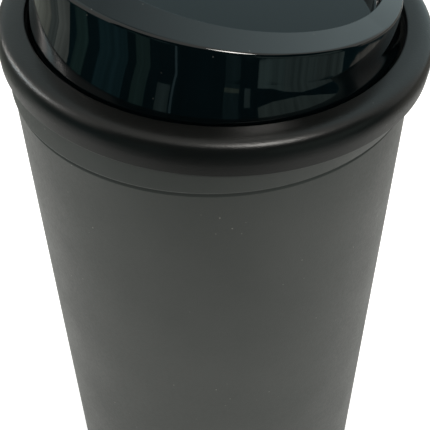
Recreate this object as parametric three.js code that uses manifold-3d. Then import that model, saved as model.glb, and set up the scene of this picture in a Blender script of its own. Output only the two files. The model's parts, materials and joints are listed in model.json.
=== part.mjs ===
// A barrel for a rock tumbler: a lined tub, a sealing lid and a bayonet clamp ring.
// Millimetres, +Z up. The origin is the centre of the underside, where the barrel stands.
import * as THREE from "three";
import { mergeVertices } from "three/addons/utils/BufferGeometryUtils.js";
import Module from "manifold-3d";

const wasm = await Module();
wasm.setup();

// ---- driving dimensions ----

const RING_RADIUS = 65; // the clamp ring, the widest piece
const RING_HEIGHT = 212; // its widest plane above the ground, on the barrel's axis
const MOUTH_TILT = 0.04; // the mouth leans towards +X, in radians
const MOUTH_SHIFT = 1.3; // the mouth's centre, along +X from the tub's axis
const GAP = 0.3; // between pieces that touch
const ROUND = 40; // facets round a turned piece

// tub
const DRAFT = 0.027; // loss of radius per unit of depth
const TUB_RADIUS = 61.2; // outside, just below the collar
const TUB_WALL = 3.2;
const STEP_HEIGHT = RING_HEIGHT - 12; // the collar's lower edge
const COLLAR_TOP = RING_HEIGHT - 5.6;
const COLLAR_RADIUS = 61.9;
const NECK_RADIUS = 58.8;
const NECK_BORE = 56;
const SHOULDER_HEIGHT = STEP_HEIGHT - 1; // where the bore starts to narrow to the neck
const BASE_UNDERSIDE = 2;
const BASE_TOP = 7;

// liner
const LINER_WALL = 3.6;
const LINER_BASE = 4;
const LINER_NECK_BORE = 52.4;
const FLANGE_RADIUS = 58.4; // the two rubber flanges that seal on each other
const RIBS = 6;
const RIB_HEIGHT = 5;
const RIB_HALF_ANGLE = 0.14;
const RIB_ENDS = [20, RING_HEIGHT - 19];

// feet
const FOOT_INNER = 43.7;
const FOOT_OUTER = 50.3;
const FOOT_HEIGHT = 4.3;
const BUTTON_RADIUS = 12;
const BUTTON_POST_RADIUS = 5;
const BUTTON_POST_TOP = 4.9;

// bayonet
const LUGS = 4;
const LUG_ANGLE = (28 * Math.PI) / 180;
const STOP_ANGLE = (3 * Math.PI) / 180;
const SHELL_LUG_RADIUS = 60.9;
const RING_LUG_BORE = 59.3;

// clamp ring, heights from its widest plane
const CROWN_WIDTH = 8; // the rounded crown, from the outer face inwards
const CROWN_HEIGHT = 6.9;
const CROWN_FULLNESS = 0.52; // 1 is an ellipse, less is squarer
const RING_BOTTOM = -4.6;
const SKIRT_RADIUS = 64.7; // at the lower edge of its outer face
const SKIRT_EDGE = -3.3;
const RING_BORE = 61.3;
const RING_LIP_BORE = 56.5;
const RING_LIP_UNDERSIDE = 5.7;
const RING_LUG_TOP = -2.2;

// lid, heights from the ring's widest plane
const PLUG_RADIUS = 52;
const PLUG_BOTTOM = -6.5;
const PLATE_RADIUS = 60.5;
const PLATE_TOP = 4.6;
const PLATE_HUB_RADIUS = 47.5;
const PLATE_HUB_BOTTOM = -1.6;
const PLATE_FLOOR = 1.4;
const CAP_RADIUS = 53.9;
const CAP_FLARE = 2.1; // the wall curves outwards by this much down to its foot
const CAP_FLARE_TOP = 14.5;
const CAP_FOOT = PLATE_TOP + GAP;
const CAP_WALL = 2.2;
const CAP_RIM_HEIGHT = 23.2; // the rim's outer edge, level with the lid's axis
const RIM_RISE = 0.9; // from the rim's outer edge to its inner edge
const CAP_FALL_X = 0.141; // the cap's top falls towards +X and +Y
const CAP_FALL_Y = 0.092;
const RECESS_RADIUS = 43.7;
const RECESS_DEPTH = 5.5;
const RECESS_OFFSET_X = 4.7;
const RECESS_OFFSET_Y = 1.2;

// screws
const SCREWS = 4;
const SCREW_CIRCLE = 28;
const SCREW_RADIUS = 1.5;
const SCREW_HEAD_RADIUS = 3.2;
const SCREW_TOP = 7.7;
const SCREW_HEAD_TOP = -0.1;
const SCREW_HEAD_HEIGHT = 1.4;
const BOSS_RADIUS = 4;

// ---- tools ----

// A closed ring or disc turned round Z from its profile, a list of [radius, height].
function turned(profile, facets = ROUND) {
  const points = profile.map(([r, z]) => new THREE.Vector2(r, z));
  return new THREE.LatheGeometry(points, facets).rotateX(Math.PI / 2);
}

// The profile of a quarter round about a centre, from one angle to another.
function arc(r, z, radius, from, to, steps = 4) {
  const points = [];
  for (let i = 0; i <= steps; i++) {
    const a = ((from + ((to - from) * i) / steps) * Math.PI) / 180;
    points.push([r + radius * Math.cos(a), z + radius * Math.sin(a)]);
  }
  return points;
}

// A block between two radii and two heights that spans an angle round Z.
function arcBlock(inner, outer, bottom, top, middle, angle) {
  const shape = new THREE.Shape();
  shape.absarc(0, 0, outer, middle - angle / 2, middle + angle / 2, false);
  shape.absarc(0, 0, inner, middle + angle / 2, middle - angle / 2, true);
  const block = new THREE.ExtrudeGeometry(shape, {
    depth: top - bottom,
    bevelEnabled: false,
    curveSegments: 4,
  });
  return block.translate(0, 0, bottom);
}

function post(radius, bottom, top, x, y, facets = 16) {
  const profile = [[0, bottom], [radius, bottom], [radius, top], [0, top]];
  return turned(profile, facets).translate(x, y, 0);
}

function toSolid(geometry) {
  const bare = geometry.clone();
  bare.deleteAttribute("normal");
  bare.deleteAttribute("uv");
  const merged = mergeVertices(bare, 1e-4);
  return new wasm.Manifold(
    new wasm.Mesh({
      numProp: 3,
      vertProperties: merged.getAttribute("position").array,
      triVerts: new Uint32Array(merged.index.array),
    }),
  );
}

function toGeometry(solid) {
  const mesh = solid.getMesh();
  const geometry = new THREE.BufferGeometry();
  const positions = new THREE.BufferAttribute(mesh.vertProperties, 3);
  geometry.setAttribute("position", positions);
  geometry.setIndex(new THREE.BufferAttribute(mesh.triVerts, 1));
  return geometry;
}

// The body with the added shapes joined to it and the removed ones cut from it.
function combine(body, added, removed = []) {
  let solid = toSolid(body);
  for (const shape of added) solid = solid.add(toSolid(shape));
  for (const shape of removed) solid = solid.subtract(toSolid(shape));
  return toGeometry(solid);
}

// Moves every vertex by a function that changes the vector it is given.
function reshape(geometry, move) {
  const position = geometry.getAttribute("position");
  const vertex = new THREE.Vector3();
  for (let i = 0; i < position.count; i++) {
    vertex.fromBufferAttribute(position, i);
    move(vertex);
    position.setXYZ(i, vertex.x, vertex.y, vertex.z);
  }
  geometry.computeVertexNormals();
  return geometry;
}

const clamp01 = (value) => THREE.MathUtils.clamp(value, 0, 1);

function material(colour, roughness) {
  return new THREE.MeshStandardMaterial({ color: colour, roughness, metalness: 0 });
}

const finishes = {
  tub: material(0x45494a, 0.42),
  matt: material(0x17191a, 0.62),
  gloss: material(0x0b0f10, 0.08),
  rubber: material(0x1d1d1d, 0.85),
  stiff: material(0x2a2c2d, 0.5),
  nylon: material(0xd8d6cc, 0.4),
  steel: new THREE.MeshStandardMaterial({ color: 0xb4b6b8, roughness: 0.3, metalness: 1 }),
};

function piece(name, geometry, finish) {
  const mesh = new THREE.Mesh(geometry, finish);
  mesh.name = name;
  return mesh;
}

// ---- the mouth's frame, which the neck, the lid and the ring share ----

function mouthFrame() {
  const group = new THREE.Group();
  group.position.set(MOUTH_SHIFT, 0, RING_HEIGHT);
  group.rotation.y = MOUTH_TILT;
  group.updateMatrix();
  return group;
}

const mouth = mouthFrame();

// Leads a tub-like piece over from the tub's axis to the mouth's, across the collar.
function leanNeck(geometry) {
  const leaned = new THREE.Vector3();
  return reshape(geometry, (vertex) => {
    const share = clamp01((vertex.z - STEP_HEIGHT) / (COLLAR_TOP - STEP_HEIGHT));
    leaned.set(vertex.x, vertex.y, vertex.z - RING_HEIGHT).applyMatrix4(mouth.matrix);
    vertex.lerp(leaned, share);
  });
}

// ---- tub ----

const tubRadiusAt = (z) => TUB_RADIUS - DRAFT * (STEP_HEIGHT - z);
const boreRadiusAt = (z) => tubRadiusAt(z) - TUB_WALL;

function shellProfile() {
  const socket = BUTTON_POST_RADIUS + GAP;
  const corner = 4;
  const innerCorner = 5;
  const grooveStart = STEP_HEIGHT - 1.7;
  const grooveDepth = 0.4;
  const floorRadius = boreRadiusAt(BASE_TOP + innerCorner);
  return [
    [0, BUTTON_POST_TOP + GAP],
    [socket, BUTTON_POST_TOP + GAP],
    [socket, BASE_UNDERSIDE],
    [FOOT_INNER - GAP, BASE_UNDERSIDE],
    [FOOT_INNER - GAP, FOOT_HEIGHT + GAP],
    [FOOT_OUTER + GAP, FOOT_HEIGHT + GAP],
    [FOOT_OUTER + GAP, BASE_UNDERSIDE],
    ...arc(tubRadiusAt(BASE_UNDERSIDE) - corner, BASE_UNDERSIDE + corner, corner, -90, 0),
    [TUB_RADIUS, grooveStart],
    [TUB_RADIUS - grooveDepth, STEP_HEIGHT - 1],
    [TUB_RADIUS - grooveDepth, STEP_HEIGHT - 0.3],
    [COLLAR_RADIUS - 0.4, STEP_HEIGHT],
    [COLLAR_RADIUS, STEP_HEIGHT + 0.5],
    [COLLAR_RADIUS, COLLAR_TOP - 0.8],
    [COLLAR_RADIUS - 0.8, COLLAR_TOP],
    [NECK_RADIUS, COLLAR_TOP],
    [NECK_RADIUS, RING_HEIGHT],
    [NECK_BORE, RING_HEIGHT],
    [NECK_BORE, COLLAR_TOP],
    [boreRadiusAt(SHOULDER_HEIGHT), SHOULDER_HEIGHT],
    ...arc(floorRadius - innerCorner, BASE_TOP + innerCorner, innerCorner, 0, -90),
    [0, BASE_TOP],
  ];
}

function bayonetLugs() {
  const root = NECK_RADIUS - 0.6;
  const top = RING_HEIGHT - 0.1;
  const lugBottom = RING_HEIGHT - 1.9;
  const stopBottom = COLLAR_TOP + 0.4;
  const blocks = [];
  for (let i = 0; i < LUGS; i++) {
    const middle = ((i + 0.5) * 2 * Math.PI) / LUGS;
    const stop = middle - (LUG_ANGLE + STOP_ANGLE) / 2;
    blocks.push(arcBlock(root, SHELL_LUG_RADIUS, lugBottom, top, middle, LUG_ANGLE));
    blocks.push(arcBlock(root, SHELL_LUG_RADIUS, stopBottom, top, stop, STOP_ANGLE));
  }
  return blocks;
}

function barrelShell() {
  const body = combine(turned(shellProfile()), bayonetLugs());
  return piece("barrel_shell", leanNeck(body), finishes.tub);
}

function linerProfile() {
  const outer = (z) => boreRadiusAt(z) - GAP - 0.1;
  const inner = (z) => outer(z) - LINER_WALL;
  const neckOuter = NECK_BORE - GAP - 0.1;
  const bottom = BASE_TOP + GAP;
  const top = bottom + LINER_BASE;
  const flange = RING_HEIGHT + GAP;
  const rubberFlange = 1.2;
  const [ribStart, ribEnd] = RIB_ENDS;
  const ramp = 5;
  return [
    [0, bottom],
    [outer(bottom) - 5, bottom],
    [outer(bottom) - 1.6, bottom + 1.6],
    [outer(bottom), bottom + 5],
    [outer(SHOULDER_HEIGHT), SHOULDER_HEIGHT],
    [neckOuter, COLLAR_TOP],
    [neckOuter, flange],
    [FLANGE_RADIUS, flange],
    [FLANGE_RADIUS, flange + rubberFlange],
    [LINER_NECK_BORE, flange + rubberFlange],
    [LINER_NECK_BORE, COLLAR_TOP],
    [inner(SHOULDER_HEIGHT), SHOULDER_HEIGHT],
    [inner(ribEnd), ribEnd],
    [inner(ribEnd - ramp), ribEnd - ramp],
    [inner(ribStart + ramp), ribStart + ramp],
    [inner(ribStart), ribStart],
    [inner(top) - 1.2, top + 1.2],
    [inner(top) - 4, top],
    [0, top],
  ];
}

// Raises the lifting ribs from the liner's inner wall, between their two ramped ends.
function raiseRibs(geometry) {
  const [ribStart, ribEnd] = RIB_ENDS;
  const pitch = (2 * Math.PI) / RIBS;
  return reshape(geometry, (vertex) => {
    const radius = Math.hypot(vertex.x, vertex.y);
    const outside = boreRadiusAt(vertex.z) - LINER_WALL / 2;
    if (vertex.z <= ribStart + 1 || vertex.z >= ribEnd - 1 || radius > outside) return;
    const angle = Math.atan2(vertex.y, vertex.x);
    const off = Math.abs(angle - pitch * Math.round(angle / pitch));
    const rise = RIB_HEIGHT * Math.sqrt(clamp01(1 - off / RIB_HALF_ANGLE));
    const scale = (radius - rise) / radius;
    vertex.set(vertex.x * scale, vertex.y * scale, vertex.z);
  });
}

function barrelLiner() {
  const facets = 60;
  const body = raiseRibs(turned(linerProfile(), facets));
  return piece("barrel_liner", leanNeck(body), finishes.rubber);
}

function footRing() {
  const edge = 1;
  const profile = [
    [FOOT_INNER, edge],
    [FOOT_INNER + edge, 0],
    [FOOT_OUTER - edge, 0],
    [FOOT_OUTER, edge],
    [FOOT_OUTER, FOOT_HEIGHT],
    [FOOT_INNER, FOOT_HEIGHT],
    [FOOT_INNER, edge],
  ];
  return piece("foot_ring", turned(profile), finishes.rubber);
}

function baseButton() {
  const edge = 0.6;
  const headTop = BASE_UNDERSIDE - GAP;
  const profile = [
    [0, 0],
    [BUTTON_RADIUS - edge, 0],
    [BUTTON_RADIUS, edge],
    [BUTTON_RADIUS, headTop],
    [BUTTON_POST_RADIUS, headTop],
    [BUTTON_POST_RADIUS, BUTTON_POST_TOP],
    [0, BUTTON_POST_TOP],
  ];
  return piece("base_button", turned(profile, 32), finishes.nylon);
}

// ---- clamp ring ----

// The clamp ring's crown, from its widest plane up and over to its top.
function crownProfile(steps = 7) {
  const points = [];
  for (let i = 0; i <= steps; i++) {
    const a = (i * Math.PI) / 2 / steps;
    const outward = Math.max(0, Math.cos(a)) ** CROWN_FULLNESS;
    const upward = Math.sin(a) ** CROWN_FULLNESS;
    points.push([RING_RADIUS - CROWN_WIDTH * (1 - outward), CROWN_HEIGHT * upward]);
  }
  return points;
}

function clampRing() {
  const edge = 0.6;
  const profile = [
    [RING_BORE, RING_LIP_UNDERSIDE],
    [RING_BORE, RING_BOTTOM + 0.4],
    [RING_BORE + 0.4, RING_BOTTOM],
    [RING_BORE + 1, RING_BOTTOM],
    [SKIRT_RADIUS - 0.4, SKIRT_EDGE],
    [SKIRT_RADIUS, SKIRT_EDGE + 0.5],
    ...crownProfile(),
    [RING_LIP_BORE, CROWN_HEIGHT - edge],
    [RING_LIP_BORE, RING_LIP_UNDERSIDE],
    [RING_BORE, RING_LIP_UNDERSIDE],
  ];
  const lugs = [];
  for (let i = 0; i < LUGS; i++) {
    const middle = (i * 2 * Math.PI) / LUGS;
    const root = RING_BORE + 0.6;
    lugs.push(arcBlock(RING_LUG_BORE, root, RING_BOTTOM, RING_LUG_TOP, middle, LUG_ANGLE));
  }
  return piece("clamp_ring", combine(turned(profile), lugs), finishes.matt);
}

function slipWasher() {
  const inner = RING_LIP_BORE + 0.5;
  const outer = RING_BORE - 0.5;
  const bottom = PLATE_TOP + GAP + 0.05;
  const top = RING_LIP_UNDERSIDE - GAP;
  const profile = [
    [inner, bottom],
    [outer, bottom],
    [outer, top],
    [inner, top],
    [inner, bottom],
  ];
  return piece("slip_washer", turned(profile), finishes.nylon);
}

// ---- lid ----

function screwPlaces() {
  const places = [];
  for (let i = 0; i < SCREWS; i++) {
    const angle = ((i + 0.5) * 2 * Math.PI) / SCREWS;
    places.push([SCREW_CIRCLE * Math.cos(angle), SCREW_CIRCLE * Math.sin(angle)]);
  }
  return places;
}

function lidPlug() {
  const flangeBottom = 1.8;
  const flangeTop = 2.8;
  const pocket = PLATE_HUB_RADIUS + GAP;
  const profile = [
    [0, PLUG_BOTTOM],
    [PLUG_RADIUS - 2, PLUG_BOTTOM],
    [PLUG_RADIUS, PLUG_BOTTOM + 2],
    [PLUG_RADIUS, flangeBottom],
    [FLANGE_RADIUS, flangeBottom],
    [FLANGE_RADIUS, flangeTop],
    [pocket, flangeTop],
    [pocket, PLATE_HUB_BOTTOM - GAP],
    [0, PLATE_HUB_BOTTOM - GAP],
  ];
  return piece("lid_plug", turned(profile), finishes.rubber);
}

function lidPlate() {
  const flangeBottom = 3.1;
  const profile = [
    [0, PLATE_HUB_BOTTOM],
    [PLATE_HUB_RADIUS, PLATE_HUB_BOTTOM],
    [PLATE_HUB_RADIUS, flangeBottom],
    [PLATE_RADIUS, flangeBottom],
    [PLATE_RADIUS, PLATE_TOP],
    [PLATE_HUB_RADIUS - 2.5, PLATE_TOP],
    [PLATE_HUB_RADIUS - 3, PLATE_FLOOR],
    [0, PLATE_FLOOR],
  ];
  const seat = SCREW_HEAD_TOP + GAP;
  const holes = [];
  for (const [x, y] of screwPlaces()) {
    holes.push(post(SCREW_RADIUS + 0.4, -3, PLATE_FLOOR + 1, x, y));
    holes.push(post(SCREW_HEAD_RADIUS + 0.4, -3, seat, x, y));
  }
  return piece("lid_plate", combine(turned(profile), [], holes), finishes.stiff);
}

const capFallAt = (x, y) => CAP_FALL_X * x + CAP_FALL_Y * y;

// The cap's outer wall from its foot up to where it stands straight.
function capFlare(steps = 4) {
  const points = [];
  for (let i = 0; i <= steps; i++) {
    const share = i / steps;
    const z = CAP_FOOT + (CAP_FLARE_TOP - CAP_FOOT) * share;
    points.push([CAP_RADIUS + CAP_FLARE * (1 - share) ** 2, z]);
  }
  return points;
}

// The cap before it is slanted: a flared wall, a flat rim and a sunk floor.
function capProfile() {
  const rim = CAP_RIM_HEIGHT;
  const innerRim = rim + RIM_RISE;
  const rimEdge = 1.6;
  const recessEdge = 0.8;
  const foot = CAP_RADIUS + CAP_FLARE;
  const floor = rim - RECESS_DEPTH;
  const inside = RECESS_RADIUS - 2;
  return [
    [foot - CAP_WALL, CAP_FOOT],
    ...capFlare(),
    ...arc(CAP_RADIUS - rimEdge, rim - rimEdge, rimEdge, 0, 90, 3),
    ...arc(RECESS_RADIUS + recessEdge, innerRim - recessEdge, recessEdge, 90, 180, 2),
    [inside, floor + 1],
    [inside - 1, floor],
    [0, floor],
    [0, floor - CAP_WALL],
    [inside + CAP_WALL - 1, floor - CAP_WALL],
    [inside + CAP_WALL + 0.5, rim - CAP_WALL],
    [CAP_RADIUS - CAP_WALL, rim - CAP_WALL],
    [foot - CAP_WALL, CAP_FOOT],
  ];
}

// Slants the cap's top and moves its recess off centre, leaving the foot square.
function slantCap(geometry) {
  const rise = CAP_RIM_HEIGHT - RECESS_DEPTH - CAP_WALL - CAP_FOOT;
  return reshape(geometry, (vertex) => {
    const radius = Math.hypot(vertex.x, vertex.y);
    const inward = clamp01((CAP_RADIUS - radius) / (CAP_RADIUS - RECESS_RADIUS));
    const upward = clamp01((vertex.z - CAP_FOOT) / rise);
    vertex.x += RECESS_OFFSET_X * inward * upward;
    vertex.y += RECESS_OFFSET_Y * inward * upward;
    vertex.z -= capFallAt(vertex.x, vertex.y) * upward;
  });
}

function lidCap() {
  const shell = slantCap(turned(capProfile()));
  const bosses = [];
  const bores = [];
  for (const [x, y] of screwPlaces()) {
    const underside = CAP_RIM_HEIGHT - RECESS_DEPTH - CAP_WALL - capFallAt(x, y);
    bosses.push(post(BOSS_RADIUS, PLATE_FLOOR + GAP, underside + CAP_WALL / 2, x, y));
    bores.push(post(SCREW_RADIUS + GAP, 0, SCREW_TOP + GAP, x, y));
  }
  return piece("lid_cap", combine(shell, bosses, bores), finishes.gloss);
}

function lidScrew(number, x, y) {
  const headBottom = SCREW_HEAD_TOP - SCREW_HEAD_HEIGHT;
  const profile = [
    [0, headBottom],
    [SCREW_HEAD_RADIUS - 0.5, headBottom],
    [SCREW_HEAD_RADIUS, headBottom + 0.5],
    [SCREW_HEAD_RADIUS, SCREW_HEAD_TOP],
    [SCREW_RADIUS, SCREW_HEAD_TOP],
    [SCREW_RADIUS, SCREW_TOP - 1],
    [0, SCREW_TOP],
  ];
  const screw = piece("lid_screw_" + number, turned(profile, 12), finishes.steel);
  screw.position.set(x, y, 0);
  return screw;
}

// ---- assembly ----

const barrel = new THREE.Group();
barrel.add(barrelShell(), barrelLiner(), footRing(), baseButton(), mouth);
mouth.add(clampRing(), slipWasher(), lidPlug(), lidPlate(), lidCap());
screwPlaces().forEach(([x, y], i) => mouth.add(lidScrew(i + 1, x, y)));

export default barrel;
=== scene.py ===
import json
from math import atan2, ceil, cos, hypot, pi, radians, sin, tan

import bmesh
import bpy
from mathutils import Matrix, Vector


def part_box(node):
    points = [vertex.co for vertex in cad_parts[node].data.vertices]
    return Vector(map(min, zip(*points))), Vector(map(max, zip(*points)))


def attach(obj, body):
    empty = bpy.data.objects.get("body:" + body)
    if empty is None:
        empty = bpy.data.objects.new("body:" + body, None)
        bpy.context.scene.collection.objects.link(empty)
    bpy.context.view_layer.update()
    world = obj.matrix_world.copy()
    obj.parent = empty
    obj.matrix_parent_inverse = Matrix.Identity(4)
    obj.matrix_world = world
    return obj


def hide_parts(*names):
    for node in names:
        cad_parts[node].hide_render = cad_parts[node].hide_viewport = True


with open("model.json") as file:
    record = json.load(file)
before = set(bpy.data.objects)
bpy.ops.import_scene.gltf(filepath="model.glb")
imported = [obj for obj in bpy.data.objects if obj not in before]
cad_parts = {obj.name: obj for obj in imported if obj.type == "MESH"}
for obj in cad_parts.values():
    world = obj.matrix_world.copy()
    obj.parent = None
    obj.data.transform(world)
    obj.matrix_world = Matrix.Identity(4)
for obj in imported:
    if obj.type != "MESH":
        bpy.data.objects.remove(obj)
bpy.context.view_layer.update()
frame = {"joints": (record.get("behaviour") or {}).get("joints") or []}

# ---- sizes ----

# The frame, the camera and the studio are in metres. The barrel's own sizes are in millimetres.
MM = 0.001
FACETS = 288  # round a turned mesh

joints = {joint["name"]: joint for joint in frame["joints"]}
MOUTH_CENTRE = Vector(joints["ring_turn"]["pos_m"])
MOUTH_AXIS = Vector(joints["ring_turn"]["axis"])
MOUTH_TILT = atan2(MOUTH_AXIS.x, MOUTH_AXIS.z)
MOUTH = Matrix.Translation(MOUTH_CENTRE) @ Matrix.Rotation(MOUTH_TILT, 4, "Y")
RING_HEIGHT = MOUTH_CENTRE.z / MM


def radius_of(node):
    """The radius of a node that is turned about the barrel's axis, in millimetres."""
    low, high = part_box(node)
    return (high.y - low.y) / 2 / MM


RING_RADIUS = radius_of("clamp_ring")
COLLAR_RADIUS = radius_of("barrel_shell")
CAP_FOOT_RADIUS = radius_of("lid_cap")

# tub, in millimetres above the ground
COLLAR_STEP = 0.7
TUB_RADIUS = COLLAR_RADIUS - COLLAR_STEP
DRAFT = 0.027
TUB_WALL = 3.2
STEP_HEIGHT = RING_HEIGHT - 12
COLLAR_TOP = RING_HEIGHT - 5.6
NECK_RADIUS = 58.8
NECK_BORE = 56
SHOULDER_HEIGHT = STEP_HEIGHT - 1
GROOVE_START = STEP_HEIGHT - 1.7
GROOVE_DEPTH = 0.4
BASE_UNDERSIDE = 2
BASE_TOP = 7
FOOT_INNER = 43.7
FOOT_OUTER = 50.3
FOOT_HEIGHT = 4.3
BUTTON_RADIUS = 12
POST_RADIUS = 5
POST_TOP = 4.9
GAP = 0.3

LINER_WALL = 3.6
LINER_TOP_OF_BASE = BASE_TOP + GAP + 4
LINER_NECK_BORE = 52.4
FLANGE_RADIUS = 58.4
FLANGE_THICKNESS = 1.2
RIBS = 6
RIB_HEIGHT = 5
RIB_HALF_ANGLE = 0.14
RIB_START = 20
RIB_END = RING_HEIGHT - 19
RIB_RAMP = 5

LUGS = 4
LUG_ANGLE = radians(28)
STOP_ANGLE = radians(3)
SHELL_LUG_RADIUS = 60.9
RING_LUG_BORE = 59.3

# clamp ring and lid, in millimetres above the ring's widest plane. The crown is a quarter of a
# superellipse: a fullness of 1 is an ellipse, and less is squarer.
RING_BOTTOM = -4.6
SKIRT_RADIUS = 64.7
SKIRT_EDGE = -3.3
CROWN_WIDTH = 8
CROWN_HEIGHT = 6.9
CROWN_FULLNESS = 0.52
RING_BORE = 61.3
RING_LIP_BORE = 56.5
RING_LIP_UNDERSIDE = 5.7
RING_LUG_TOP = -2.2
PLATE_TOP = 4.6
PLATE_RADIUS = 60.5
PLATE_FLANGE_BOTTOM = 3.1
HUB_RADIUS = 47.5
HUB_BOTTOM = -1.6
PLATE_FLOOR = 1.4
PLUG_RADIUS = 52
PLUG_BOTTOM = -6.5
PLUG_FLANGE_BOTTOM = 1.8
PLUG_FLANGE_TOP = 2.8
CAP_FLARE = 2.1  # the wall curves outwards by this much, from the flare's top to its foot
CAP_FLARE_TOP = 14.5
CAP_RADIUS = CAP_FOOT_RADIUS - CAP_FLARE
CAP_FOOT = PLATE_TOP + GAP
CAP_WALL = 2.2
CAP_RIM = 23.2
RIM_RISE = 0.9
CAP_FALL_X = 0.141
CAP_FALL_Y = 0.092
RECESS_RADIUS = 43.7
RECESS_DEPTH = 5.5
RECESS_OFFSET_X = 4.7
RECESS_OFFSET_Y = 1.2
SCREWS = 4
SCREW_CIRCLE = 28
SCREW_RADIUS = 1.5
SCREW_HEAD_RADIUS = 3.2
SCREW_HEAD_TOP = -0.1
SCREW_HEAD_BOTTOM = -1.5
SCREW_TOP = 7.7
SOCKET_RADIUS = 1.4
SOCKET_DEPTH = 0.9


# ---- turned meshes ----


def rounded(corners, closed, steps=6):
    """The profile through corners (radius, height, fillet), each fillet drawn as an arc."""
    points = []
    count = len(corners)
    for i, (r, z, fillet) in enumerate(corners):
        corner = Vector((r, z))
        if fillet == 0 or (not closed and i in (0, count - 1)):
            points.append(corner)
            continue
        back = Vector(corners[i - 1][:2]) - corner
        on = Vector(corners[(i + 1) % count][:2]) - corner
        half = back.angle(on) / 2
        reach = min(fillet / tan(half), 0.49 * back.length, 0.49 * on.length)
        radius = reach * tan(half)
        back.normalize()
        on.normalize()
        centre = corner + (back + on).normalized() * radius / sin(half)
        first = corner + back * reach - centre
        last = corner + on * reach - centre
        for k in range(steps + 1):
            points.append(centre + first.lerp(last, k / steps).normalized() * radius)
    return points


def split_long(points, closed, longest):
    """Adds points so that no stretch of the profile is longer than the given length."""
    fine = []
    count = len(points)
    for i, point in enumerate(points):
        fine.append(point)
        if i == count - 1 and not closed:
            break
        follower = points[(i + 1) % count]
        pieces = ceil((follower - point).length / longest)
        for k in range(1, pieces):
            fine.append(point.lerp(follower, k / pieces))
    return fine


def turned(name, corners, closed=False, facets=FACETS, shape=None, place=None, longest=12):
    """A closed mesh turned round Z. shape(x, y, z) moves a point in millimetres, and place then
    takes it into the frame. An open profile starts and ends on the axis."""
    profile = split_long(rounded(corners, closed), closed, longest)
    bm = bmesh.new()
    rows = []
    for point in profile:
        on_axis = point.x < 1e-6
        row = []
        for k in range(1 if on_axis else facets):
            angle = 2 * pi * k / facets
            spot = Vector((point.x * cos(angle), point.x * sin(angle), point.y))
            if shape:
                spot = shape(spot)
            spot = spot * MM
            row.append(bm.verts.new(place @ spot if place else spot))
        rows.append(row * facets if on_axis else row)
    pairs = list(zip(rows, rows[1:]))
    if closed:
        pairs.append((rows[-1], rows[0]))
    for low, high in pairs:
        for k in range(facets):
            ring = [low[k], low[(k + 1) % facets], high[(k + 1) % facets], high[k]]
            corners_used = list(dict.fromkeys(ring))
            if len(corners_used) > 2:
                bm.faces.new(corners_used)
    bmesh.ops.recalc_face_normals(bm, faces=bm.faces)
    mesh = bpy.data.meshes.new(name)
    bm.to_mesh(mesh)
    bm.free()
    for polygon in mesh.polygons:
        polygon.use_smooth = True
    mesh.set_sharp_from_angle(angle=radians(40))
    piece = bpy.data.objects.new(name, mesh)
    bpy.context.scene.collection.objects.link(piece)
    weighted = piece.modifiers.new("weighted", "WEIGHTED_NORMAL")
    weighted.keep_sharp = True
    return piece


def clamp01(value):
    return max(0.0, min(1.0, value))


def blend01(value):
    value = clamp01(value)
    return value * value * (3 - 2 * value)


def near_angle(angle, middle, width):
    """True when an angle lies within a width centred on a middle."""
    off = (angle - middle + pi) % (2 * pi) - pi
    return abs(off) <= width / 2 + 1e-4


STRAIGHT_TO_MOUTH = Matrix.Scale(1 / MM, 4) @ MOUTH @ Matrix.Scale(MM, 4)


def lean_neck(spot):
    """Leads a point of the tub or its liner over to the mouth's axis, across the collar."""
    share = clamp01((spot.z - STEP_HEIGHT) / (COLLAR_TOP - STEP_HEIGHT))
    leaned = STRAIGHT_TO_MOUTH @ Vector((spot.x, spot.y, spot.z - RING_HEIGHT))
    return spot.lerp(leaned, share)


def with_radius(spot, radius):
    scale = radius / hypot(spot.x, spot.y)
    return Vector((spot.x * scale, spot.y * scale, spot.z))


# ---- the barrel body ----


def tub_radius_at(z):
    return TUB_RADIUS - DRAFT * (STEP_HEIGHT - z)


def bore_radius_at(z):
    return tub_radius_at(z) - TUB_WALL


LUG_TOP = RING_HEIGHT - 0.1
LUG_BOTTOM = RING_HEIGHT - 1.9
STOP_BOTTOM = COLLAR_TOP + 0.4


def shell_shape(spot):
    radius = hypot(spot.x, spot.y)
    on_neck = abs(radius - NECK_RADIUS) < 0.01 and STOP_BOTTOM - 0.01 < spot.z < LUG_TOP + 0.01
    if on_neck:
        angle = atan2(spot.y, spot.x)
        for i in range(LUGS):
            middle = (i + 0.5) * 2 * pi / LUGS
            stop = middle - (LUG_ANGLE + STOP_ANGLE) / 2
            on_lug = near_angle(angle, middle, LUG_ANGLE) and spot.z > LUG_BOTTOM - 0.01
            if on_lug or near_angle(angle, stop, STOP_ANGLE):
                spot = with_radius(spot, SHELL_LUG_RADIUS)
    return lean_neck(spot)


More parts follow.
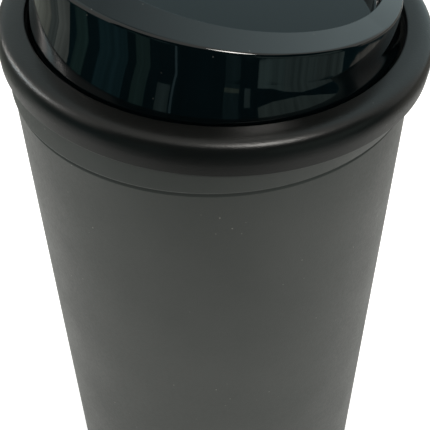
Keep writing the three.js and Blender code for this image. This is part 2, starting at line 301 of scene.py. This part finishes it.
def barrel_shell():
    socket = POST_RADIUS + GAP
    corners = [
        (0, POST_TOP + GAP, 0),
        (socket, POST_TOP + GAP, 0.2),
        (socket, BASE_UNDERSIDE, 0.3),
        (FOOT_INNER - GAP, BASE_UNDERSIDE, 0.3),
        (FOOT_INNER - GAP, FOOT_HEIGHT + GAP, 0.2),
        (FOOT_OUTER + GAP, FOOT_HEIGHT + GAP, 0.2),
        (FOOT_OUTER + GAP, BASE_UNDERSIDE, 0.4),
        (tub_radius_at(BASE_UNDERSIDE), BASE_UNDERSIDE, 4),
        (TUB_RADIUS, GROOVE_START, 0.3),
        (TUB_RADIUS - GROOVE_DEPTH, STEP_HEIGHT - 1, 0.15),
        (TUB_RADIUS - GROOVE_DEPTH, STEP_HEIGHT - 0.2, 0.1),
        (COLLAR_RADIUS, STEP_HEIGHT, 0.5),
        (COLLAR_RADIUS, COLLAR_TOP, 0.4),
        (NECK_RADIUS, COLLAR_TOP, 0.2),
        (NECK_RADIUS, STOP_BOTTOM - 0.08, 0),
        (NECK_RADIUS, STOP_BOTTOM, 0),
        (NECK_RADIUS, LUG_BOTTOM - 0.08, 0),
        (NECK_RADIUS, LUG_BOTTOM, 0),
        (NECK_RADIUS, LUG_TOP, 0),
        (NECK_RADIUS, RING_HEIGHT, 0),
        (NECK_BORE, RING_HEIGHT, 0.6),
        (NECK_BORE, COLLAR_TOP, 1),
        (bore_radius_at(SHOULDER_HEIGHT), SHOULDER_HEIGHT, 2),
        (bore_radius_at(BASE_TOP), BASE_TOP, 5),
        (0, BASE_TOP, 0),
    ]
    return turned("tub", corners, shape=shell_shape)


def liner_shape(spot):
    radius = hypot(spot.x, spot.y)
    inside = radius < bore_radius_at(spot.z) - LINER_WALL / 2
    if inside and RIB_START < spot.z < RIB_END and radius > 30:
        pitch = 2 * pi / RIBS
        angle = atan2(spot.y, spot.x)
        off = abs(angle - pitch * round(angle / pitch)) / RIB_HALF_ANGLE
        crest = max(0.0, 1 - off * off) ** 0.5
        ramp = min(blend01((spot.z - RIB_START) / RIB_RAMP), blend01((RIB_END - spot.z) / RIB_RAMP))
        spot = with_radius(spot, radius - RIB_HEIGHT * crest * ramp)
    return lean_neck(spot)


def barrel_liner():
    def outer(z):
        return bore_radius_at(z) - GAP - 0.1

    def inner(z):
        return outer(z) - LINER_WALL

    bottom = BASE_TOP + GAP
    neck = NECK_BORE - GAP - 0.1
    flange = RING_HEIGHT + GAP
    ramps = []
    for z in (RIB_END, RIB_START + RIB_RAMP):
        for k in range(6):
            height = z - RIB_RAMP * k / 5
            ramps.append((inner(height), height, 0))
    corners = [
        (0, bottom, 0),
        (outer(bottom) - 0.2, bottom, 5),
        (outer(SHOULDER_HEIGHT), SHOULDER_HEIGHT, 2),
        (neck, COLLAR_TOP, 1),
        (neck, flange, 0.2),
        (FLANGE_RADIUS, flange, 0.3),
        (FLANGE_RADIUS, flange + FLANGE_THICKNESS, 0.4),
        (LINER_NECK_BORE, flange + FLANGE_THICKNESS, 0.5),
        (LINER_NECK_BORE, COLLAR_TOP, 1.5),
        (inner(SHOULDER_HEIGHT), SHOULDER_HEIGHT, 3),
        *ramps,
        (inner(LINER_TOP_OF_BASE) - 0.2, LINER_TOP_OF_BASE, 4),
        (0, LINER_TOP_OF_BASE, 0),
    ]
    return turned("liner", corners, shape=liner_shape)


def foot_ring():
    corners = [
        (FOOT_INNER, 0, 0.9),
        (FOOT_OUTER, 0, 0.9),
        (FOOT_OUTER, FOOT_HEIGHT, 0.3),
        (FOOT_INNER, FOOT_HEIGHT, 0.3),
    ]
    return turned("foot_pad", corners, closed=True)


def base_button():
    head_top = BASE_UNDERSIDE - GAP
    corners = [
        (0, 0, 0),
        (BUTTON_RADIUS, 0, 0.6),
        (BUTTON_RADIUS, head_top, 0.3),
        (POST_RADIUS, head_top, 0.2),
        (POST_RADIUS, POST_TOP, 0.5),
        (0, POST_TOP, 0),
    ]
    return turned("wear_button", corners, facets=96)


# ---- the clamp ring ----


def ring_shape(spot):
    radius = hypot(spot.x, spot.y)
    angle = atan2(spot.y, spot.x)
    if radius < RING_BORE + 0.35 and spot.z < RING_LUG_TOP + 0.01:
        for i in range(LUGS):
            if near_angle(angle, i * 2 * pi / LUGS, LUG_ANGLE):
                inset = RING_BORE - RING_LUG_BORE
                spot = with_radius(spot, radius - inset)
    return spot


def clamp_ring():
    crown = []
    steps = 32
    for k in range(steps + 1):
        angle = pi / 2 * k / steps
        outward = max(0.0, cos(angle)) ** CROWN_FULLNESS
        upward = sin(angle) ** CROWN_FULLNESS
        crown.append((RING_RADIUS - CROWN_WIDTH * (1 - outward), CROWN_HEIGHT * upward, 0))
    corners = [
        (RING_BORE, RING_LIP_UNDERSIDE, 0.3),
        (RING_BORE, RING_LUG_TOP + 0.08, 0),
        (RING_BORE, RING_LUG_TOP, 0),
        (RING_BORE, RING_BOTTOM, 0.3),
        (RING_BORE + 1, RING_BOTTOM, 0.3),
        (SKIRT_RADIUS, SKIRT_EDGE, 0.35),
        *crown,
        (RING_LIP_BORE, CROWN_HEIGHT - 0.1, 0.25),
        (RING_LIP_BORE, RING_LIP_UNDERSIDE, 0.2),
    ]
    return turned("over_ring", corners, closed=True, shape=ring_shape, place=MOUTH)


def slip_washer():
    inner = RING_LIP_BORE + 0.5
    outer = RING_BORE - 0.5
    bottom = PLATE_TOP + GAP + 0.05
    top = RING_LIP_UNDERSIDE - GAP
    corners = [(inner, bottom, 0.1), (outer, bottom, 0.1), (outer, top, 0.1), (inner, top, 0.1)]
    return turned("glide_washer", corners, closed=True, place=MOUTH)


# ---- the lid ----


def cap_shape(spot):
    """Slants the cap's top and moves its recess off centre, leaving the foot square."""
    radius = hypot(spot.x, spot.y)
    rise = CAP_RIM - RECESS_DEPTH - CAP_WALL - CAP_FOOT
    inward = clamp01((CAP_RADIUS - radius) / (CAP_RADIUS - RECESS_RADIUS))
    upward = clamp01((spot.z - CAP_FOOT) / rise)
    x = spot.x + RECESS_OFFSET_X * inward * upward
    y = spot.y + RECESS_OFFSET_Y * inward * upward
    fall = (CAP_FALL_X * x + CAP_FALL_Y * y) * upward
    return Vector((x, y, spot.z - fall))


def lid_cap():
    floor = CAP_RIM - RECESS_DEPTH
    inside = RECESS_RADIUS - 1.2
    flare = []
    steps = 12
    for k in range(steps + 1):
        share = k / steps
        height = CAP_FOOT + (CAP_FLARE_TOP - CAP_FOOT) * share
        flare.append((CAP_RADIUS + CAP_FLARE * (1 - share) ** 2, height, 0))
    corners = [
        (CAP_FOOT_RADIUS - CAP_WALL, CAP_FOOT, 0.3),
        *flare,
        (CAP_RADIUS, CAP_RIM, 1.1),
        (RECESS_RADIUS, CAP_RIM + RIM_RISE, 0.5),
        (inside, floor, 1.2),
        (0, floor, 0),
        (0, floor - CAP_WALL, 0),
        (RECESS_RADIUS - 0.8, floor - CAP_WALL, 0.5),
        (RECESS_RADIUS + 0.7, CAP_RIM - CAP_WALL, 0.5),
        (CAP_RADIUS - CAP_WALL, CAP_RIM - CAP_WALL, 0.5),
    ]
    # The profile touches the axis twice, so its two open halves are turned as one loop.
    turn = corners.index((0, floor - CAP_WALL, 0))
    ordered = corners[turn:] + corners[:turn]
    return turned("cap", ordered, shape=cap_shape, place=MOUTH)


def lid_plate():
    corners = [
        (0, HUB_BOTTOM, 0),
        (HUB_RADIUS, HUB_BOTTOM, 0.5),
        (HUB_RADIUS, PLATE_FLANGE_BOTTOM, 0.2),
        (PLATE_RADIUS, PLATE_FLANGE_BOTTOM, 0.3),
        (PLATE_RADIUS, PLATE_TOP, 0.4),
        (HUB_RADIUS - 2.5, PLATE_TOP, 0.4),
        (HUB_RADIUS - 3, PLATE_FLOOR, 0.5),
        (0, PLATE_FLOOR, 0),
    ]
    return turned("lid_disc", corners, place=MOUTH)


def lid_plug():
    pocket = HUB_RADIUS + GAP
    corners = [
        (0, PLUG_BOTTOM, 0),
        (PLUG_RADIUS - 2, PLUG_BOTTOM, 0.8),
        (PLUG_RADIUS, PLUG_BOTTOM + 2, 0.8),
        (PLUG_RADIUS, PLUG_FLANGE_BOTTOM, 0.2),
        (FLANGE_RADIUS, PLUG_FLANGE_BOTTOM, 0.3),
        (FLANGE_RADIUS, PLUG_FLANGE_TOP, 0.3),
        (pocket, PLUG_FLANGE_TOP, 0.3),
        (pocket, HUB_BOTTOM - GAP, 0.3),
        (0, HUB_BOTTOM - GAP, 0),
    ]
    return turned("plug", corners, place=MOUTH)


def lid_screw(number):
    """A pan-head screw with a hexagonal socket in its head, which faces down."""
    angle = (number - 0.5) * 2 * pi / SCREWS
    across = Vector((SCREW_CIRCLE * cos(angle), SCREW_CIRCLE * sin(angle), 0))
    corners = [
        (0, SCREW_HEAD_BOTTOM + SOCKET_DEPTH, 0),
        (SOCKET_RADIUS, SCREW_HEAD_BOTTOM + SOCKET_DEPTH, 0),
        (SOCKET_RADIUS, SCREW_HEAD_BOTTOM, 0.1),
        (SCREW_HEAD_RADIUS, SCREW_HEAD_BOTTOM, 0.5),
        (SCREW_HEAD_RADIUS, SCREW_HEAD_TOP, 0.1),
        (SCREW_RADIUS, SCREW_HEAD_TOP, 0.1),
        (SCREW_RADIUS, SCREW_TOP - 1, 0.2),
        (0, SCREW_TOP, 0),
    ]

    def shape(spot):
        radius = hypot(spot.x, spot.y)
        if 0 < radius <= SOCKET_RADIUS + 0.01 and spot.z < SCREW_HEAD_BOTTOM + 1:
            off = (atan2(spot.y, spot.x) % (pi / 3)) - pi / 6
            spot = with_radius(spot, radius * cos(pi / 6) / cos(off))
        return spot + across

    return turned(f"fixing_{number}", corners, facets=72, shape=shape, place=MOUTH)


# ---- materials ----


class Nodes:
    """A short way to build a node material."""

    def __init__(self, name):
        self.material = bpy.data.materials.new(name)
        self.material.use_nodes = True
        self.tree = self.material.node_tree
        self.shader = self.tree.nodes["Principled BSDF"]
        self.coordinates = self.add("ShaderNodeTexCoord").outputs["Object"]

    def add(self, kind, **settings):
        node = self.tree.nodes.new(kind)
        for key, value in settings.items():
            setattr(node, key, value)
        return node

    def link(self, output, target):
        self.tree.links.new(output, target)

    def scaled(self, x, y, z):
        mapping = self.add("ShaderNodeMapping")
        mapping.inputs["Scale"].default_value = (x, y, z)
        self.link(self.coordinates, mapping.inputs["Vector"])
        return mapping.outputs["Vector"]

    def noise(self, scale, detail=3.0, roughness=0.5, vector=None):
        node = self.add("ShaderNodeTexNoise")
        node.inputs["Scale"].default_value = scale
        node.inputs["Detail"].default_value = detail
        node.inputs["Roughness"].default_value = roughness
        self.link(vector or self.coordinates, node.inputs["Vector"])
        return node.outputs["Fac"]

    def spread(self, value, low, high, to_low, to_high):
        node = self.add("ShaderNodeMapRange")
        node.inputs["From Min"].default_value = low
        node.inputs["From Max"].default_value = high
        node.inputs["To Min"].default_value = to_low
        node.inputs["To Max"].default_value = to_high
        self.link(value, node.inputs["Value"])
        return node.outputs["Result"]

    def specks(self, scale, size, vector=None):
        """1 inside small round specks, 0 elsewhere."""
        cells = self.add("ShaderNodeTexVoronoi")
        cells.inputs["Scale"].default_value = scale
        self.link(vector or self.coordinates, cells.inputs["Vector"])
        return self.spread(cells.outputs["Distance"], size, size * 0.5, 0, 1)

    def times(self, a, b):
        node = self.add("ShaderNodeMath", operation="MULTIPLY")
        for value, socket in ((a, node.inputs[0]), (b, node.inputs[1])):
            if isinstance(value, (int, float)):
                socket.default_value = value
            else:
                self.link(value, socket)
        return node.outputs[0]

    def plus(self, a, b):
        node = self.add("ShaderNodeMath", operation="ADD")
        self.link(a, node.inputs[0])
        self.link(b, node.inputs[1])
        return node.outputs[0]

    def mix(self, factor, a, b):
        node = self.add("ShaderNodeMix", data_type="RGBA")
        self.link(factor, node.inputs["Factor"])
        for value, socket in ((a, node.inputs["A"]), (b, node.inputs["B"])):
            if isinstance(value, tuple):
                socket.default_value = (*value, 1)
            else:
                self.link(value, socket)
        return node.outputs["Result"]

    def bump(self, height, distance, strength=1.0):
        node = self.add("ShaderNodeBump")
        node.inputs["Distance"].default_value = distance
        node.inputs["Strength"].default_value = strength
        self.link(height, node.inputs["Height"])
        self.link(node.outputs["Normal"], self.shader.inputs["Normal"])

    def set(self, **values):
        for key, value in values.items():
            self.shader.inputs[key.replace("_", " ")].default_value = value


def plastic(name, dark, light, smooth, rough, grain, grain_depth, dust, ior=1.5):
    """Moulded plastic: soft colour drift, a fine moulded grain, uneven gloss and a little dust."""
    m = Nodes(name)
    drift = m.spread(m.noise(18, 4, 0.55), 0.3, 0.7, 0, 1)
    flow = m.spread(m.noise(60, 3, 0.6, m.scaled(1, 1, 0.08)), 0.35, 0.65, 0, 1)
    base = m.mix(drift, dark, light)
    base = m.mix(m.times(flow, 0.25), base, light)
    specks = m.times(m.specks(260, 0.07), m.spread(m.noise(40, 2), 0.5, 0.62, 0, dust))
    m.link(m.mix(specks, base, (0.32, 0.31, 0.28)), m.shader.inputs["Base Color"])
    gloss = m.spread(m.plus(m.noise(45, 4, 0.6), m.noise(900, 2)), 0.7, 1.3, smooth, rough)
    m.link(gloss, m.shader.inputs["Roughness"])
    m.bump(m.plus(m.noise(grain, 2, 0.5), m.times(specks, 0.6)), grain_depth)
    m.set(IOR=ior)
    return m.material


def brushed_steel():
    m = Nodes("screw_steel")
    lathe = m.noise(500, 3, 0.6, m.scaled(0.2, 0.2, 4))
    tone = m.spread(m.noise(200, 3), 0.35, 0.65, 0, 1)
    m.link(m.mix(tone, (0.42, 0.43, 0.44), (0.56, 0.56, 0.55)), m.shader.inputs["Base Color"])
    m.link(m.spread(lathe, 0.3, 0.7, 0.2, 0.38), m.shader.inputs["Roughness"])
    m.bump(lathe, 0.00002)
    m.set(Metallic=1.0)
    return m.material


def make_materials():
    # darker and lighter colour, roughness from and to, grain's scale and depth, dust, index
    tub = [(0.033, 0.038, 0.035), (0.042, 0.046, 0.043), 0.34, 0.44, 2600, 0.00003, 0.7]
    ring = [(0.003, 0.0034, 0.003), (0.0044, 0.0048, 0.0043), 0.28, 0.36, 2200, 0.00004, 0.3, 1.37]
    cap = [(0.0006, 0.0018, 0.0022), (0.0010, 0.0022, 0.0026), 0.03, 0.05, 400, 0.000003, 0.25]
    plate = [(0.004, 0.0045, 0.005), (0.006, 0.0065, 0.007), 0.7, 0.85, 2400, 0.00004, 0.1, 1.25]
    rubber = [(0.009, 0.009, 0.009), (0.018, 0.018, 0.017), 0.62, 0.8, 1500, 0.00008, 0.9]
    nylon = [(0.56, 0.54, 0.47), (0.64, 0.62, 0.55), 0.32, 0.42, 1800, 0.00003, 0.2]
    return {
        "grey_tub": plastic("satin_grey", *tub),
        "matt_ring": plastic("matt_black", *ring),
        "gloss_cap": plastic("gloss_black", *cap),
        "stiff_plate": plastic("plate_grey", *plate),
        "rubber": plastic("barrel_rubber", *rubber),
        "nylon": plastic("off_white_nylon", *nylon),
        "screw_steel": brushed_steel(),
    }


# ---- the scene ----


def add_camera():
    """The camera stands in front of the barrel and looks down on its mouth."""
    focal_length = 83.72
    distance = 3.9624 * RING_RADIUS * MM
    height = 2.5844 * RING_RADIUS * MM
    sideways = 0.0093
    pitch, yaw, roll = 0.7642, -0.0087, -0.0153
    forward = Vector((sin(yaw) * cos(pitch), cos(yaw) * cos(pitch), -sin(pitch)))
    right = Vector((cos(yaw), -sin(yaw), 0))
    up = right.cross(forward)
    turned_right = right * cos(roll) + up * sin(roll)
    turned_up = up * cos(roll) - right * sin(roll)
    data = bpy.data.cameras.new("camera")
    data.lens = focal_length
    data.sensor_width = 36
    data.shift_x = sideways
    camera = bpy.data.objects.new("camera", data)
    spot = MOUTH_CENTRE + Vector((0, -distance, height))
    axes = Matrix((turned_right, turned_up, -forward)).transposed()
    camera.matrix_world = Matrix.Translation(spot) @ axes.to_4x4()
    bpy.context.scene.collection.objects.link(camera)
    bpy.context.scene.camera = camera


def shown_to(thing, camera=False, glossy=False, diffuse=False):
    """Limits which rays meet a studio object. Nothing in the studio casts a shadow."""
    thing.visible_camera = camera
    thing.visible_glossy = glossy
    thing.visible_diffuse = diffuse
    thing.visible_transmission = glossy
    thing.visible_shadow = False


def studio_object(name, vertices, faces, colour, glow, albedo):
    """A glowing or plain sheet. Returns it and its material's nodes."""
    mesh = bpy.data.meshes.new(name)
    mesh.from_pydata(vertices, [], faces)
    thing = bpy.data.objects.new(name, mesh)
    bpy.context.scene.collection.objects.link(thing)
    m = Nodes(name)
    m.shader.inputs["Base Color"].default_value = (albedo, albedo, albedo, 1)
    m.shader.inputs["Roughness"].default_value = 0.9
    m.shader.inputs["Specular IOR Level"].default_value = 0
    m.shader.inputs["Emission Color"].default_value = (*colour, 1)
    m.shader.inputs["Emission Strength"].default_value = glow
    mesh.materials.append(m.material)
    return thing, m


def level_sheet(left, right, front, back, height):
    """The four corners of a level rectangle."""
    return [(left, front, height), (right, front, height), (right, back, height), (left, back, height)]


def add_floor():
    """A pale floor that glows a little, so that it reads as white, and a plain one under it that
    lights the barrel from below. A dark strip in front of the barrel shows only in the gloss."""
    size = 3
    quad = [(0, 1, 2, 3)]
    white = (1, 1, 1)
    floor, _ = studio_object("floor", level_sheet(-size, size, -size, size, 0), quad, white, 0.6, 0.9)
    shown_to(floor, camera=True)
    lower = level_sheet(-size, size, -size, size, -MM)
    bounce, _ = studio_object("floor_bounce", lower, quad, white, 0, 0.9)
    shown_to(bounce, glossy=True, diffuse=True)
    dark = level_sheet(-0.3, 0.3, -0.3, -0.235, 0)
    strip, _ = studio_object("floor_dark", dark, quad, (0.02, 0.024, 0.022), 1, 0)
    shown_to(strip, glossy=True)


# Cards that stand round the barrel and show only in its gloss. Each has a colour, scaled by its
# brightness, and columns. A column is an azimuth in degrees from the back, turning right, and the
# card's bottom and top there in millimetres. A card hides the ones before it.
SURROUND_RADIUS = 300
SURROUND_STEP = 0.5  # each card stands this much nearer than the one before
CARD_FACET = 4  # degrees
DARK = (0.008, 0.03, 0.038)
SURROUND = [
    (DARK, [(44, 0, 200), (99, 0, 200)]),
    (DARK, [(99, 0, 550), (232, 0, 550)]),
    (DARK, [(232, 50, 280), (262, 50, 280)]),
    (DARK, [(262, 50, 270), (272, 50, 270)]),
    ((0.28, 0.30, 0.26), [(289, 20, 270), (322, 20, 270)]),
    ((0.16, 0.19, 0.18), [(281, 20, 270), (289, 20, 270)]),
    ((0.34, 0.38, 0.35), [(268, 108, 270), (273, 60, 270), (281, 20, 270)]),
    ((0.06, 0.13, 0.12), [(256, 50, 270), (265, 50, 270)]),
    ((0.045, 0.12, 0.14), [(230, 50, 270), (248, 50, 270)]),
    ((0.09, 0.18, 0.165), [(217, 10, 270), (225, 10, 270)]),
    ((0.14, 0.22, 0.22), [(204, 100, 270), (211, 100, 270)]),
    ((0.20, 0.33, 0.37), [(202, 64, 240), (203.2, 64, 240)]),
    ((0.05, 0.10, 0.11), [(168, 54, 270), (176, 54, 270)]),
    ((0.24, 0.32, 0.26), [(168, 75, 92), (176, 75, 92)]),
    ((0.18, 0.27, 0.27), [(162, 70, 140), (165, 70, 140)]),
    ((0.24, 0.36, 0.35), [(143, 42, 81), (150, 47, 66), (158, 44, 66)]),
    ((0.20, 0.28, 0.27), [(123, 38, 80), (133, 39, 93), (143, 42, 81)]),
    ((0.17, 0.23, 0.22), [(104, 31, 60), (112, 37, 60), (123, 38, 80)]),
    ((0.23, 0.31, 0.29), [(109, 150, 270), (123, 122, 270), (134, 110, 270)]),
    ((0.23, 0.31, 0.29), [(134, 110, 270), (150, 124, 270), (158, 142, 270)]),
    ((0.3, 0.29, 0.26), [(46, 5, 42), (60, 5, 44), (82, 5, 47), (93, 5, 44), (102, 5, 33)]),
    ((0.3, 0.29, 0.26), [(46, 58, 200), (82, 58, 200), (95, 70, 200)]),
]


def surround_spot(azimuth, height, radius):
    """A point round the barrel, in metres, from degrees and millimetres."""
    across = radians(azimuth)
    return Vector((radius * sin(across), radius * cos(across), height)) * MM


def add_surround():
    """Each card is a strip bent round the barrel, with upright streaks in its brightness."""
    for number, (colour, columns) in enumerate(SURROUND):
        radius = SURROUND_RADIUS - number * SURROUND_STEP
        vertices = []
        for (start, low0, high0), (end, low1, high1) in zip(columns, columns[1:]):
            steps = ceil((end - start) / CARD_FACET)
            for k in range(steps + 1):
                share = k / steps
                azimuth = start + (end - start) * share
                vertices.append(surround_spot(azimuth, low0 + (low1 - low0) * share, radius))
                vertices.append(surround_spot(azimuth, high0 + (high1 - high0) * share, radius))
        faces = [(k, k + 2, k + 3, k + 1) for k in range(0, len(vertices) - 2, 2)]
        card, m = studio_object(f"card_{number}", vertices, faces, colour, 1, 0)
        streaks = m.spread(m.noise(70, 3, 0.6, m.scaled(1, 1, 0.06)), 0.3, 0.7, 0.72, 1.28)
        m.link(streaks, m.shader.inputs["Emission Strength"])
        shown_to(card, glossy=True)


def add_back_cards():
    """The dim wall behind the barrel, which its top reflects, brighter towards the right."""
    back = 0.8
    nearer = 0.79
    split = 0.566
    edge = 0.345
    left = -0.9
    right = 1.5
    top = 2
    dim = (0.29, 0.385, 0.405)
    bright = (0.84, 1.03, 1.06)
    for name, start, end, low, high, depth, colour in (
        ("back_low", left, edge, 0, split, back, dim),
        ("back_right", edge, right, 0, split, back, bright),
        ("back_high", left, right, split, top, back, bright),
        ("back_left", left, -0.12, 0, top, nearer, (0.68, 0.8, 0.8)),
    ):
        corners = [(start, depth, low), (end, depth, low), (end, depth, high), (start, depth, high)]
        card, m = studio_object(name, corners, [(0, 1, 2, 3)], colour, 1, 0)
        if name == "back_high":
            apart = m.add("ShaderNodeSeparateXYZ")
            m.link(m.coordinates, apart.inputs["Vector"])
            share = m.spread(apart.outputs["X"], 0, 0.4, 0.33, 1.08)
            m.link(share, m.shader.inputs["Emission Strength"])
        shown_to(card, glossy=True)


def add_soft_box(name, azimuth, elevation, distance, width, height, colour, glow):
    """A glowing card that faces the mouth, seen only in the gloss."""
    # azimuth in degrees from the back, turning right
    across = radians(azimuth)
    up = radians(elevation)
    away = Vector((sin(across) * cos(up), cos(across) * cos(up), sin(up)))
    side = away.cross(Vector((0, 0, 1))).normalized() * width / 2
    rise = side.normalized().cross(away) * height / 2
    centre = MOUTH_CENTRE + away * distance
    corners = [centre - side - rise, centre + side - rise, centre + side + rise, centre - side + rise]
    box, _ = studio_object(name, corners, [(0, 1, 2, 3)], colour, glow, 0)
    shown_to(box, glossy=True)


def add_key_light():
    """A wide, weak lamp overhead, which gives the floor a soft shadow under the barrel."""
    data = bpy.data.lights.new("overhead", "AREA")
    data.shape = "DISK"
    data.size = 1.2
    data.energy = 3
    lamp = bpy.data.objects.new("overhead", data)
    lamp.location = (0.2, -0.1, 1.6)
    lamp.visible_glossy = False
    lamp.visible_camera = False
    bpy.context.scene.collection.objects.link(lamp)


def add_world():
    world = bpy.data.worlds.new("studio")
    world.use_nodes = True
    background = world.node_tree.nodes["Background"]
    background.inputs["Color"].default_value = (1, 1, 0.95, 1)
    background.inputs["Strength"].default_value = 0.86
    bpy.context.scene.world = world


# ---- assembly ----

add_camera()
add_floor()
add_surround()
add_back_cards()
add_soft_box("box_front", 139, 60, 0.7, 0.17, 0.2, (1, 0.97, 0.92), 32)
add_soft_box("box_left_1", -84, 30, 0.7, 0.05, 0.2, (1, 0.96, 0.92), 30)
add_soft_box("box_left_2", -72, 24, 0.7, 0.05, 0.2, (0.7, 0.95, 1), 16)
add_soft_box("box_left_3", -63, 24, 0.7, 0.05, 0.2, (1, 0.93, 0.88), 26)
add_key_light()
add_world()
bpy.context.scene.view_settings.view_transform = "Standard"

materials = make_materials()


def fit(piece, node, body, slot):
    piece.data.materials.append(materials[slot])
    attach(piece, body)
    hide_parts(node)


fit(barrel_shell(), "barrel_shell", "barrel", "grey_tub")
fit(barrel_liner(), "barrel_liner", "barrel", "rubber")
fit(foot_ring(), "foot_ring", "barrel", "rubber")
fit(base_button(), "base_button", "barrel", "nylon")
fit(clamp_ring(), "clamp_ring", "ring", "matt_ring")
fit(slip_washer(), "slip_washer", "washer", "nylon")
fit(lid_cap(), "lid_cap", "lid", "gloss_cap")
fit(lid_plate(), "lid_plate", "lid", "stiff_plate")
fit(lid_plug(), "lid_plug", "lid", "rubber")
for number in range(1, SCREWS + 1):
    fit(lid_screw(number), f"lid_screw_{number}", "lid", "screw_steel")
